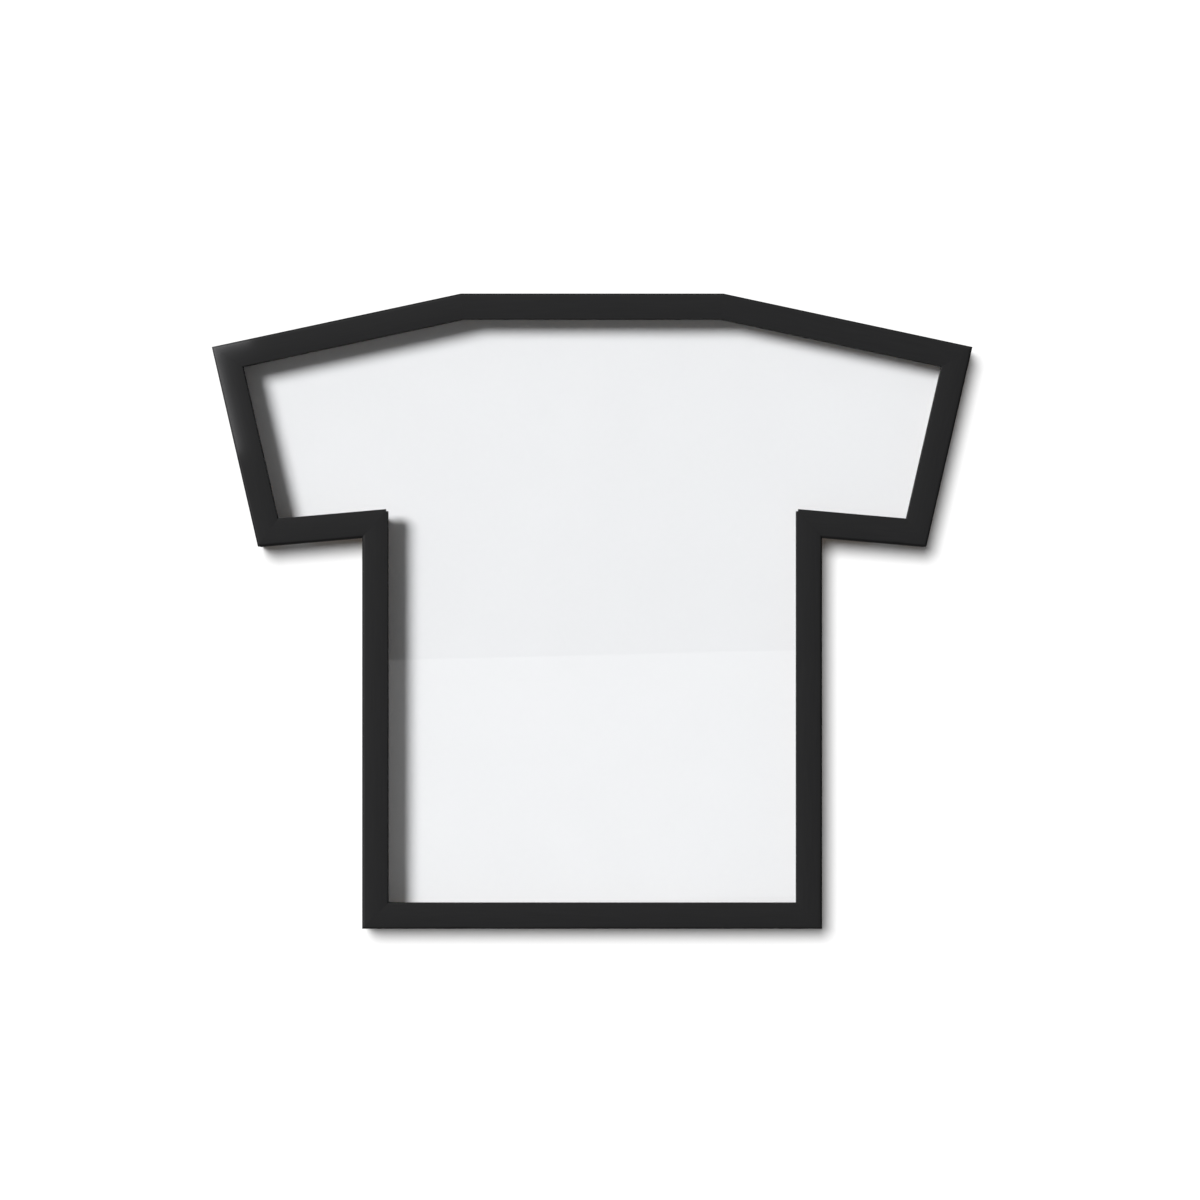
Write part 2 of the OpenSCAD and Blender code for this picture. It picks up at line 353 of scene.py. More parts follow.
GROUPS = {"grain": grain_group, "handling": handling_group, "fibres": fibre_group}


def marks(tree, kind, vector, scale):
    """Places a shared group, built the first time that it is asked for."""
    name = "shared_" + kind
    if name not in bpy.data.node_groups:
        GROUPS[kind]().name = name
    node = tree.nodes.new("ShaderNodeGroup")
    node.node_tree = bpy.data.node_groups[name]
    node.inputs["Scale"].default_value = scale
    tree.links.new(vector, node.inputs["Vector"])
    return node.outputs


def new_material(name, **plain):
    """A material with a Principled shader whose plain values are set on its own sockets."""
    material = bpy.data.materials.new(name)
    material.use_nodes = True
    tree = material.node_tree
    shader = tree.nodes["Principled BSDF"]
    for socket, value in plain.items():
        shader.inputs[socket.replace("_", " ")].default_value = value
    return material, tree, shader


def object_vector(tree):
    return put(tree, "TexCoord").outputs["Object"]


def finish_shader(tree, shader, base=None, roughness=None, normal=None):
    for name, source in (("Base Color", base), ("Roughness", roughness), ("Normal", normal)):
        if source is not None:
            tree.links.new(source, shader.inputs[name])


# ---------------------------------------------------------------- materials


def satin_paint(settings):
    """Black satin paint over wood: faint grain along the rail, and lighter paint along the rounded
    edges that is partly worn by rubbing and partly a painted highlight.
    """
    material, tree, shader = new_material("satin_paint", Specular_IOR_Level=0.12)
    local = put(tree, "Attribute", attribute_name="grain").outputs["Vector"]
    arris = put(tree, "Attribute", attribute_name="arris").outputs["Fac"]
    grain = marks(tree, "grain", local, 900.0)
    handled = marks(tree, "handling", local, 22.0)
    nibs = marks(tree, "handling", local, 260.0)
    # Painted highlight: the rounded edges get a lighter colour, partly paint worn by rubbing and
    # partly a highlight painted along the arrises; the same mask also lowers the roughness there.
    rubbed_and_highlit = calc(tree, "MULTIPLY", arris, handled["Blotches"])
    shade = tinted(tree, grain["Streaks"], [c * 0.9 for c in settings.paint],
                   [c * 1.12 for c in settings.paint])
    base = tinted(tree, rubbed_and_highlit, shade, settings.rubbed_and_highlit)
    sheen = spread(tree, grain["Streaks"], 0.0, 1.0, 0.55, 0.61)
    worn = calc(tree, "MULTIPLY", handled["Blotches"], 0.05)
    rough = calc(tree, "SUBTRACT", calc(tree, "ADD", sheen, worn),
                 calc(tree, "MULTIPLY", rubbed_and_highlit, 0.09))
    relief = calc(tree, "ADD", calc(tree, "MULTIPLY", grain["Streaks"], 0.5),
                  calc(tree, "MULTIPLY", nibs["Specks"], 0.8))
    relief = calc(tree, "SUBTRACT", relief, calc(tree, "MULTIPLY", grain["Pores"], 0.6))
    finish_shader(tree, shader, base, rough, raised(tree, relief, 0.012 * MM))
    return material


def bare_wood(settings):
    """Planed softwood at the back of the rails, with overspray from the painted sides."""
    material, tree, shader = new_material("bare_wood", Specular_IOR_Level=0.3)
    local = put(tree, "Attribute", attribute_name="grain").outputs["Vector"]
    edge = put(tree, "Attribute", attribute_name="overspray").outputs["Fac"]
    grain = marks(tree, "grain", local, 420.0)
    handled = marks(tree, "handling", local, 70.0)
    fibres = marks(tree, "fibres", local, 1500.0)
    late = [c * k for c, k in zip(settings.bare_wood, (0.62, 0.52, 0.42))]
    base = tinted(tree, grain["Streaks"], settings.bare_wood, late)
    base = tinted(tree, calc(tree, "MULTIPLY", grain["Pores"], 0.45), base, (0.10, 0.052, 0.022))
    mist = spread(tree, calc(tree, "ADD", edge, calc(tree, "MULTIPLY", fibres["Fuzz"], 0.5)),
                  0.55, 1.25)
    base = tinted(tree, mist, base, settings.rubbed_and_highlit)
    base = tinted(tree, calc(tree, "MULTIPLY", handled["Specks"], 0.5), base, (0.05, 0.03, 0.02))
    rough = spread(tree, grain["Streaks"], 0.0, 1.0, 0.78, 0.62)
    relief = calc(tree, "SUBTRACT", fibres["Fuzz"], grain["Pores"])
    finish_shader(tree, shader, base, rough, raised(tree, relief, 0.03 * MM))
    return material


def clear_acrylic(settings):
    """The window: lamps and the light off the panel pass straight through it."""
    material, tree, shader = new_material("clear_acrylic", Transmission_Weight=1.0, IOR=1.49,
                                          Base_Color=(*settings.window_tint, 1.0))
    handled = marks(tree, "handling", object_vector(tree), 16.0)
    wiped = marks(tree, "fibres", object_vector(tree), 60.0)
    film = calc(tree, "MULTIPLY", handled["Blotches"], calc(tree, "MULTIPLY", wiped["Fibres"], 0.02))
    finish_shader(tree, shader, roughness=calc(tree, "ADD", film, 0.004))
    rays = put(tree, "LightPath").outputs
    through = calc(tree, "MAXIMUM", rays["Is Shadow Ray"], rays["Is Diffuse Ray"])
    clear = put(tree, "BsdfTransparent", Color=(0.975, 0.976, 0.976, 1.0)).outputs[0]
    both = put(tree, "MixShader", {0: through, 1: shader.outputs[0], 2: clear}).outputs[0]
    tree.links.new(both, tree.nodes["Material Output"].inputs["Surface"])
    return material


def liner_paper(settings):
    """Smooth white board paper: cool, faintly fibrous, a little grey where it was handled."""
    material, tree, shader = new_material("liner_paper", Specular_IOR_Level=0.35)
    where = object_vector(tree)
    fibres = marks(tree, "fibres", where, 900.0)
    handled = marks(tree, "handling", where, 9.0)
    faint = marks(tree, "handling", where, 45.0)
    base = tinted(tree, handled["Blotches"], [c * 0.985 for c in settings.paper], settings.paper)
    base = tinted(tree, calc(tree, "MULTIPLY", fibres["Fibres"], 0.10), base,
                  [c * 0.93 for c in settings.paper])
    base = tinted(tree, calc(tree, "MULTIPLY", faint["Specks"], 0.10), base, (0.62, 0.62, 0.62))
    rough = spread(tree, faint["Blotches"], 0.0, 1.0, 0.48, 0.62)
    relief = calc(tree, "ADD", calc(tree, "MULTIPLY", fibres["Fibres"], 0.6),
                  calc(tree, "MULTIPLY", fibres["Fuzz"], 0.4))
    finish_shader(tree, shader, base, rough, raised(tree, relief, 0.02 * MM))
    return material


def foam_core(settings):
    """The panel's cut edge: fine closed cells with crumbs between them, each cell's hollow darkened
    with painted shade.
    """
    material, tree, shader = new_material("foam_core", Subsurface_Weight=0.12,
                                          Subsurface_Scale=1.0 * MM)
    where = object_vector(tree)
    cells = put(tree, "TexVoronoi", {"Vector": where}, Scale=1400.0).outputs["Distance"]
    handled = marks(tree, "handling", where, 130.0)
    # Painted shade: the colour darkens toward each cell's middle, where the bump below sinks into a
    # hollow.
    base = tinted(tree, cells, [c * 0.82 for c in settings.foam], settings.foam)
    rough = spread(tree, handled["Blotches"], 0.0, 1.0, 0.75, 0.92)
    finish_shader(tree, shader, base, rough, raised(tree, cells, 0.12 * MM))
    return material


def hardboard(settings):
    """Pressed brown fibre board: matted fibres, dark shives and the press screen's weave."""
    material, tree, shader = new_material("hardboard", Specular_IOR_Level=0.4)
    where = object_vector(tree)
    fibres = marks(tree, "fibres", where, 420.0)
    shives = marks(tree, "fibres", stretched(tree, where, (1.0, 1.0, 1.0), (0.9, 0.4, 0.2)), 150.0)
    handled = marks(tree, "handling", where, 14.0)
    pale = [min(1.0, c * k) for c, k in zip(settings.hardboard, (1.55, 1.75, 1.95))]
    dark = [c * 0.45 for c in settings.hardboard]
    base = tinted(tree, handled["Blotches"], [c * 0.85 for c in settings.hardboard],
                  [c * 1.12 for c in settings.hardboard])
    base = tinted(tree, calc(tree, "MULTIPLY", fibres["Fibres"], 0.55), base, pale)
    base = tinted(tree, calc(tree, "MULTIPLY", shives["Fibres"], 0.5), base, dark)
    screen = None
    for direction in ("X", "Z"):
        wave = put(tree, "TexWave", {"Vector": where}, wave_type="BANDS",
                   bands_direction=direction, Scale=270.0, Distortion=0.0).outputs["Fac"]
        screen = wave if screen is None else calc(tree, "MULTIPLY", screen, wave)
    rough = spread(tree, fibres["Fuzz"], 0.3, 0.7, 0.52, 0.72)
    pressed = raised(tree, screen, 0.10 * MM)
    finish_shader(tree, shader, base, rough, raised(tree, fibres["Fuzz"], 0.06 * MM, pressed))
    return material


def plated_steel(name, tone, scratch_scale=1900.0):
    """Zinc-plated steel: cloudy plating, fine scratches and dust in the low places."""
    material, tree, shader = new_material(name, Metallic=1.0)
    where = object_vector(tree)
    clouds = marks(tree, "handling", where, 170.0)
    scratches = marks(tree, "fibres", where, scratch_scale)
    base = tinted(tree, clouds["Blotches"], [c * 0.84 for c in tone], tone)
    base = tinted(tree, calc(tree, "MULTIPLY", clouds["Specks"], 0.45), base, (0.20, 0.19, 0.18))
    rough = calc(tree, "ADD", spread(tree, clouds["Blotches"], 0.0, 1.0, 0.38, 0.27),
                 calc(tree, "MULTIPLY", scratches["Fibres"], 0.16))
    relief = calc(tree, "SUBTRACT", calc(tree, "MULTIPLY", scratches["Fuzz"], 0.5),
                  scratches["Fibres"])
    finish_shader(tree, shader, base, rough, raised(tree, relief, 0.006 * MM))
    return material


def moulded_black(name, tone, rough_low, rough_high, texture_scale, depth):
    """Black rubber or rigid plastic with a fine moulded texture and a little dust."""
    material, tree, shader = new_material(name, Specular_IOR_Level=0.4)
    where = object_vector(tree)
    dust = marks(tree, "handling", where, 120.0)
    texture = marks(tree, "fibres", where, texture_scale)
    base = tinted(tree, dust["Blotches"], [c * 0.85 for c in tone], [c * 1.2 for c in tone])
    base = tinted(tree, calc(tree, "MULTIPLY", dust["Specks"], 0.35), base, (0.22, 0.215, 0.21))
    rough = spread(tree, texture["Fuzz"], 0.3, 0.7, rough_low, rough_high)
    finish_shader(tree, shader, base, rough, raised(tree, texture["Fuzz"], depth))
    return material


def pale_plaster(name, tone):
    """A plain pale surface with hardly any texture."""
    material, tree, shader = new_material(name, Roughness=0.9, Specular_IOR_Level=0.1)
    clouds = marks(tree, "handling", object_vector(tree), 1.1)
    base = tinted(tree, clouds["Blotches"], [c * 0.992 for c in tone], tone)
    finish_shader(tree, shader, base)
    return material, tree, shader


# ---------------------------------------------------------------- mesh helpers


def bevel(bm, geom, width, segments, affect="EDGES"):
    bmesh.ops.bevel(bm, geom=geom, offset=width, offset_type="OFFSET", segments=segments,
                    profile=0.5, affect=affect, material=-1, clamp_overlap=True)


def extruded(bm, face, step):
    """Extrudes a face by a step and returns the face at its far end."""
    made = bmesh.ops.extrude_face_region(bm, geom=[face])["geom"]
    moved = [g for g in made if isinstance(g, bmesh.types.BMVert)]
    bmesh.ops.translate(bm, verts=moved, vec=step)
    return next(g for g in made if isinstance(g, bmesh.types.BMFace))


def sharp_edges(bm, degrees):
    return [e for e in bm.edges
            if e.is_manifold and e.calc_face_angle() > math.radians(degrees)]


def outwards(bm):
    bmesh.ops.recalc_face_normals(bm, faces=bm.faces[:])


def make_piece(bm, name, body, replaced, materials):
    """Turns a bmesh into a smooth-shaded piece that rides on a body and stands for solids."""
    mesh = bpy.data.meshes.new(name)
    bm.to_mesh(mesh)
    bm.free()
    mesh.polygons.foreach_set("use_smooth", [True] * len(mesh.polygons))
    mesh.set_sharp_from_angle(angle=math.radians(50))
    for material in materials:
        mesh.materials.append(material)
    piece = bpy.data.objects.new(name, mesh)
    bpy.context.scene.collection.objects.link(piece)
    weighted = piece.modifiers.new("Even shading", "WEIGHTED_NORMAL")
    weighted.keep_sharp = True
    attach(piece, body)
    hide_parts(*replaced)
    return piece


def copied_to(bm, places):
    """Repeats the whole mesh at each place."""
    pattern = bm.copy()
    bm.clear()
    for place in places:
        mesh = bpy.data.meshes.new("copy")
        pattern.to_mesh(mesh)
        mesh.transform(place)
        bm.from_mesh(mesh)
        bpy.data.meshes.remove(mesh)
    pattern.free()


# From a hardware piece's own space, where it lies flat and faces +Z, to facing the wall.
FACING_BACK = Matrix.Rotation(math.radians(-90), 4, "X")

# ---------------------------------------------------------------- mouldings

CROWN_CUTS = 14


def moulding_section(bm, settings, start):
    """A rail's section as one face: crowned front, lip, rabbet and land, with eased corners."""
    back = BACK - 0.05 * MM
    corners = [(FRONT, 0.0, settings.outer_round, 7),
               (FRONT, -RAIL_W, settings.sight_round, 5),
               (LIP_BACK, -RAIL_W, settings.back_round, 2),
               (LIP_BACK, -LAND_W, 0.0, 0),
               (back, -LAND_W, settings.back_round, 2),
               (back, 0.0, settings.back_round, 3)]
    vertices = [bm.verts.new((start, y, z)) for y, z, radius, segments in corners]
    bm.faces.new(vertices)
    for vertex, (y, z, radius, segments) in zip(vertices, corners):
        if segments:
            bevel(bm, [vertex], radius, segments, "VERTICES")
    face_edges = [e for e in bm.edges if all(abs(v.co.y - FRONT) < TOUCH for v in e.verts)]
    longest = max(face_edges, key=lambda e: e.calc_length())
    bmesh.ops.subdivide_edges(bm, edges=[longest], cuts=CROWN_CUTS)
    half = RAIL_W / 2
    crown_r = (half ** 2 + settings.crown ** 2) / (2 * settings.crown)
    for vertex in bm.verts:
        if vertex.co.y < FRONT + settings.outer_round + TOUCH:
            vertex.co.y += crown_r - math.sqrt(crown_r ** 2 - (vertex.co.z + half) ** 2)
    return bm.faces[:][0]


def cut_mitre(bm, i, keep):
    """Cuts the rail at corner i, keeps the side that keep points to, and closes the cut."""
    line = mitre(i)
    normal = Vector((line.y, 0.0, -line.x))
    if normal.dot(keep) > 0:
        normal.negate()
    cut = bmesh.ops.bisect_plane(bm, geom=bm.verts[:] + bm.edges[:] + bm.faces[:], dist=TOUCH / 10,
                                 plane_co=(point(i).x, 0.0, point(i).y), plane_no=normal,
                                 clear_outer=True)["geom_cut"]
    rim = [g for g in cut if isinstance(g, bmesh.types.BMEdge)]
    return bmesh.ops.edgeloop_fill(bm, edges=rim)["faces"]


def paint_layers(bm, settings, i):
    """Marks each point with its place in the rail, its rounded edges (where the paint is worn and a
    highlight is painted) and its overspray.
    """
    local_layer = bm.verts.layers.float_vector.new("grain")
    arris_layer = bm.verts.layers.float.new("arris")
    overspray_layer = bm.verts.layers.float.new("overspray")
    to_rail = on_edge(i).inverted()
    board = Vector((0.31 * i, 0.07 * i, 0.05 * i))
    for vertex in bm.verts:
        local = to_rail @ vertex.co
        vertex[local_layer] = local + board
        outer = math.hypot(local.y - FRONT, local.z) / settings.outer_round
        sight = math.hypot(local.y - FRONT, local.z + RAIL_W) / settings.sight_round
        vertex[arris_layer] = 1.0 if min(outer, sight) < 1.0 else 0.0
        vertex[overspray_layer] = 1.0 if local.z > -settings.back_round - TOUCH else 0.0


def assign_bare(bm, i):
    """Gives the second material to the back and the rabbet, where no paint goes."""
    turn = on_edge(i).to_3x3().inverted()
    for face in bm.faces:
        normal = turn @ face.normal
        middle = on_edge(i).inverted() @ face.calc_center_median()
        in_rabbet = middle.y > LIP_BACK - TOUCH and middle.z < -LAND_W + TOUCH
        if normal.y > 0.9 or in_rabbet:
            face.material_index = 1


def moulding(i, settings, materials):
    bm = bmesh.new()
    section = moulding_section(bm, settings, -RAIL_W)
    run = (point(i + 1) - point(i)).length + 2 * RAIL_W
    extruded(bm, section, (run, 0.0, 0.0))
    bm.transform(on_edge(i))
    outwards(bm)
    forward = Vector((along(i).x, 0.0, along(i).y))
    ends = cut_mitre(bm, i, forward) + cut_mitre(bm, i + 1, -forward)
    rims = {edge for face in ends for edge in face.edges}
    bevel(bm, list(rims), settings.mitre_ease, 2)
    outwards(bm)
    bm.normal_update()
    paint_layers(bm, settings, i)
    assign_bare(bm, i)
    name = EDGES[i]
    make_piece(bm, name + "_moulding", "frame", [name + "_rail"], materials)


# ---------------------------------------------------------------- sheets


def sheet(inset, start, layers, ease):
    """A flat sheet in the frame's outline, built up of layers from its front face."""
    bm = bmesh.new()
    outline = [corner(i, inset) for i in range(len(OUTLINE))]
    face = bm.faces.new([bm.verts.new((p.x, start, p.y)) for p in outline])
    for thickness in layers:
        face = extruded(bm, face, (0.0, thickness, 0.0))
    outwards(bm)
    bevel(bm, sharp_edges(bm, 30), ease, 2)
    return bm


def sheet_inset(node):
    return TOP - high(node).z


def sheet_thickness(node):
    return high(node).y - low(node).y


# ---------------------------------------------------------------- hardware


def button_sizes():
    """Width, reach from the screw and thickness, from the button that is parked level."""
    level = next(b for b in BUTTONS if b["child"] == "neck_button")
    size = high("neck_button") - low("neck_button")
    return size.z, high("neck_button").x - level["pos_m"][0], size.y


def turn_button(settings):
    """A flat plate with round ends, a bore and a tip turned up for the finger."""
    width, reach, thickness = button_sizes()
    straight = reach - width / 2
    bm = bmesh.new()
    rim = bmesh.ops.create_circle(bm, cap_ends=False, radius=width / 2,
                                  segments=settings.facets)["verts"]
    bmesh.ops.translate(bm, verts=[v for v in rim if v.co.x > TOUCH], vec=(straight, 0.0, 0.0))
    bmesh.ops.create_circle(bm, cap_ends=False, radius=settings.bore_r, segments=settings.facets)
    bmesh.ops.bridge_loops(bm, edges=bm.edges[:])
    top = bmesh.ops.extrude_face_region(bm, geom=bm.faces[:])["geom"]
    lifted = [g for g in top if isinstance(g, bmesh.types.BMVert)]
    bmesh.ops.translate(bm, verts=lifted, vec=(0.0, 0.0, thickness))
    outwards(bm)
    bevel(bm, sharp_edges(bm, 60), settings.button_ease, 3)
    bend_start = straight - width / 4
    for share in (0.0, 0.25, 0.5, 0.75):
        place = bend_start + share * (reach - bend_start)
        bmesh.ops.bisect_plane(bm, geom=bm.verts[:] + bm.edges[:] + bm.faces[:],
                               plane_co=(place, 0.0, 0.0), plane_no=(1.0, 0.0, 0.0))
    for vertex in bm.verts:
        past = max(0.0, (vertex.co.x - bend_start) / (reach - bend_start))
        vertex.co.z += settings.tip_lift * past ** 2
    return bm


def parked(joint):
    """A turn button's place and direction, read from its own solid."""
    pivot = Vector(joint["pos_m"])
    middle = (low(joint["child"]) + high(joint["child"])) / 2
    tip_way = Vector((middle.x - pivot.x, middle.z - pivot.z))
    ways = [along(i) * sign for i in range(len(OUTLINE)) for sign in (-1, 1)]
    flat = Vector((pivot.x, low(joint["child"]).y, pivot.z))
    return Matrix.Translation(flat) @ turned_along(max(ways, key=tip_way.dot))


def domed(radius, height, arc_points=7):
    """Points (r, z) of a low dome, from its rim up to its middle."""
    dome_r = (radius ** 2 + height ** 2) / (2 * height)
    rise = math.asin(min(1.0, radius / dome_r))
    turns = [rise * (1 - k / arc_points) for k in range(arc_points + 1)]
    return [(dome_r * math.sin(a), height - dome_r * (1 - math.cos(a))) for a in turns]


def turned_piece(section, facets):
    """Spins a section of (r, z) points about Z, closes its poles and turns it outwards."""
    bm = bmesh.new()
    vertices = [bm.verts.new((r, 0.0, z)) for r, z in section]
    edges = [bm.edges.new(pair) for pair in zip(vertices, vertices[1:])]
    bmesh.ops.spin(bm, geom=vertices + edges, cent=(0.0, 0.0, 0.0), axis=(0.0, 0.0, 1.0),
                   steps=facets, angle=math.tau, use_merge=True)
    bmesh.ops.remove_doubles(bm, verts=bm.verts[:], dist=TOUCH)
    outwards(bm)
    return bm


RECESS_WIDTH = 0.13  # widths and depth of the cross recess, as shares of the head's radius
RECESS_REACH = 0.53
RECESS_DEPTH = 0.42
RECESS_TAPER = 0.55


def cut_recess(bm, head_r, head_h):
    """Sinks a tapered cross into a screw's domed head."""
    wide = RECESS_WIDTH * head_r
    reach = RECESS_REACH * head_r
    for axis in (Vector((1.0, 0.0, 0.0)), Vector((0.0, 1.0, 0.0))):
        for offset in (-reach, -wide, wide, reach):
            dome = [f for f in bm.faces if f.calc_center_median().z > head_h * 0.3]
            around = {v for f in dome for v in f.verts} | {e for f in dome for e in f.edges}
            bmesh.ops.bisect_plane(bm, geom=list(around) + dome, dist=TOUCH / 10,
                                   plane_co=axis * offset, plane_no=axis)
    cross = []
    for face in bm.faces:
        middle = face.calc_center_median()
        narrow, far = sorted((abs(middle.x), abs(middle.y)))
        if middle.z > head_h * 0.3 and narrow < wide and far < reach:
            cross.append(face)
    sunk = bmesh.ops.extrude_face_region(bm, geom=cross)["geom"]
    floor = [g for g in sunk if isinstance(g, bmesh.types.BMVert)]
    bmesh.ops.delete(bm, geom=cross, context="FACES_ONLY")
    for vertex in floor:
        vertex.co.z = head_h - RECESS_DEPTH * head_r
    bmesh.ops.scale(bm, verts=floor, vec=(RECESS_TAPER, RECESS_TAPER, 1.0))


def wood_screw(shank_r, shank_l, head_r, head_h, facets):
    """A round-headed screw along Z with the underside of its head at 0."""
    cone = 3 * MM
    rim = 0.12 * head_h
    dome = [(r, z + rim * (1 - z / head_h)) for r, z in domed(head_r, head_h)]
    section = [(0.0, -shank_l), (shank_r, cone - shank_l), (shank_r, 0.0), (head_r * 0.96, 0.0),
               (head_r, rim * 0.5)] + dome[:-1] + [(0.0, head_h)]
    bm = turned_piece(section, facets)
    cut_recess(bm, head_r, head_h)
    bmesh.ops.remove_doubles(bm, verts=bm.verts[:], dist=TOUCH)
    outwards(bm)
    return bm


def screw_places(spots, under_head):
    """Each screw stands at its spot with its cross turned its own way."""
    golden = math.radians(137.5)
    return [Matrix.Translation((x, under_head, z)) @ FACING_BACK
            @ Matrix.Rotation(golden * k, 4, "Z") for k, (x, z) in enumerate(spots)]


def softened_copy(node, ease):
    """A merged copy of a solid's mesh with its sharp edges eased."""
    bm = bmesh.new()
    bm.from_mesh(frame["nodes"][node].data)
    bmesh.ops.remove_doubles(bm, verts=bm.verts[:], dist=TOUCH)
    bmesh.ops.dissolve_limit(bm, angle_limit=math.radians(1), verts=bm.verts[:],
                             edges=bm.edges[:])
    bevel(bm, sharp_edges(bm, 40), ease, 2)
    outwards(bm)
    return bm


def dress(node, material):
    """Gives a solid that keeps its own mesh its material."""
    solid = frame["nodes"][node]
    solid.data.materials.clear()
    solid.data.materials.append(material)


# ---------------------------------------------------------------- operators


class DISPLAYFRAME_OT_mouldings(bpy.types.Operator):
    """Ten painted mouldings, mitred at the corners"""

    bl_idname = "displayframe.mouldings"
    bl_label = "Mouldings"
    bl_options = {"REGISTER", "UNDO"}

    def execute(self, context):
        scene = context.scene
        settings = scene.displayframe_frame
        materials = [satin_paint(settings), bare_wood(settings)]
        for i in range(len(EDGES)):
            moulding(i, settings, materials)
        return {"FINISHED"}


class DISPLAYFRAME_OT_window(bpy.types.Operator):
    """The clear acrylic sheet behind the lip"""

    bl_idname = "displayframe.window"
    bl_label = "Window"
    bl_options = {"REGISTER", "UNDO"}

    def execute(self, context):
        scene = context.scene
        bm = sheet(sheet_inset("window"), low("window").y, [sheet_thickness("window")],
                   scene.displayframe_back.sheet_ease)
        make_piece(bm, "clear_window", "frame", ["window"],
                   [clear_acrylic(scene.displayframe_frame)])
        return {"FINISHED"}


class DISPLAYFRAME_OT_spacers(bpy.types.Operator):
    """The strips that hold the panel off the window"""

    bl_idname = "displayframe.spacers"
    bl_label = "Spacers"
    bl_options = {"REGISTER", "UNDO"}

    def execute(self, context):
        scene = context.scene
        plastic = moulded_black("spacer_plastic", scene.displayframe_frame.paint, 0.42, 0.58,
                                1300.0, 0.02 * MM)
        for edge in EDGES:
            dress(edge + "_spacer", plastic)
        return {"FINISHED"}


class DISPLAYFRAME_OT_form_panel(bpy.types.Operator):
    """The foam board that a jersey is folded round"""

    bl_idname = "displayframe.form_panel"
    bl_label = "Form panel"
    bl_options = {"REGISTER", "UNDO"}

    def execute(self, context):
        scene = context.scene
        settings = scene.displayframe_back
        core = sheet_thickness("shirt_panel") - 2 * settings.liner
        bm = sheet(sheet_inset("shirt_panel"), low("shirt_panel").y,
                   [settings.liner, core, settings.liner], settings.sheet_ease)
        inner = low("shirt_panel").y + settings.liner
        outer = high("shirt_panel").y - settings.liner
        for face in bm.faces:
            if inner < face.calc_center_median().y < outer:
                face.material_index = 1
        make_piece(bm, "form_panel", "shirt_panel", ["shirt_panel"],
                   [liner_paper(settings), foam_core(settings)])
        return {"FINISHED"}


class DISPLAYFRAME_OT_back_board(bpy.types.Operator):
    """The hardboard that closes the back"""

    bl_idname = "displayframe.back_board"
    bl_label = "Back board"
    bl_options = {"REGISTER", "UNDO"}

    def execute(self, context):
        scene = context.scene
        settings = scene.displayframe_back
        bm = sheet(sheet_inset("back_cover"), low("back_cover").y,
                   [sheet_thickness("back_cover")], settings.sheet_ease)
        make_piece(bm, "back_board", "back_cover", ["back_cover"],
                   [hardboard(settings)])
        return {"FINISHED"}


class DISPLAYFRAME_OT_turn_buttons(bpy.types.Operator):
    """The plates that turn over the back board to hold it"""

    bl_idname = "displayframe.turn_buttons"
    bl_label = "Turn buttons"
    bl_options = {"REGISTER", "UNDO"}

    def execute(self, context):
        scene = context.scene
        settings = scene.displayframe_hardware
        zinc = plated_steel("button_zinc", settings.zinc)
        for joint in BUTTONS:
            bm = turn_button(settings)
            bm.transform(parked(joint) @ FACING_BACK)
            outwards(bm)
            node = joint["child"]
            make_piece(bm, node + "_plate", node, [node], [zinc])
        return {"FINISHED"}


class DISPLAYFRAME_OT_screws(bpy.types.Operator):
    """The screws of the turn buttons and of the hangers"""

    bl_idname = "displayframe.screws"
    bl_label = "Screws"
    bl_options = {"REGISTER", "UNDO"}

    def execute(self, context):
        scene = context.scene
        settings = scene.displayframe_hardware
        zinc = plated_steel("screw_zinc", settings.zinc, 2600.0)
        pivots = [Vector(joint["pos_m"]) for joint in BUTTONS]
        play = low("neck_button").y - BACK
        under = high("neck_button").y + play
        head_r = high("button_screws").x - max(p.x for p in pivots)
        bm = wood_screw(settings.shank_r, under - low("button_screws").y, head_r,
                        high("button_screws").y - under, settings.facets)
        copied_to(bm, screw_places([(p.x, p.z) for p in pivots], under))
        make_piece(bm, "turn_button_screws", "frame", ["button_screws"], [zinc])

        under = BACK + settings.hanger_t
        level = (low("hanger_screws").z + high("hanger_screws").z) / 2
        head_r = high("hanger_screws").z - level
        far = high("hanger_screws").x - head_r
        centre = (low("right_hanger").x + high("right_hanger").x) / 2
        spots = [(side * x, level) for side in (-1, 1) for x in (2 * centre - far, far)]
        bm = wood_screw(settings.hanger_shank_r, under - low("hanger_screws").y, head_r,
                        high("hanger_screws").y - under, settings.facets)
        copied_to(bm, screw_places(spots, under))
        make_piece(bm, "hanging_screws", "frame", ["hanger_screws"], [zinc])
        return {"FINISHED"}


class DISPLAYFRAME_OT_hangers(bpy.types.Operator):
    """The two sawtooth hangers on the neck rail"""

    bl_idname = "displayframe.hangers"
    bl_label = "Hangers"
    bl_options = {"REGISTER", "UNDO"}

    def execute(self, context):
        scene = context.scene
        settings = scene.displayframe_hardware
        zinc = plated_steel("hanger_zinc", settings.passivated, 1500.0)
        for side in ("left", "right"):
            node = side + "_hanger"
            bm = softened_copy(node, settings.hanger_ease)
            make_piece(bm, side + "_sawtooth", "frame", [node], [zinc])
        return {"FINISHED"}


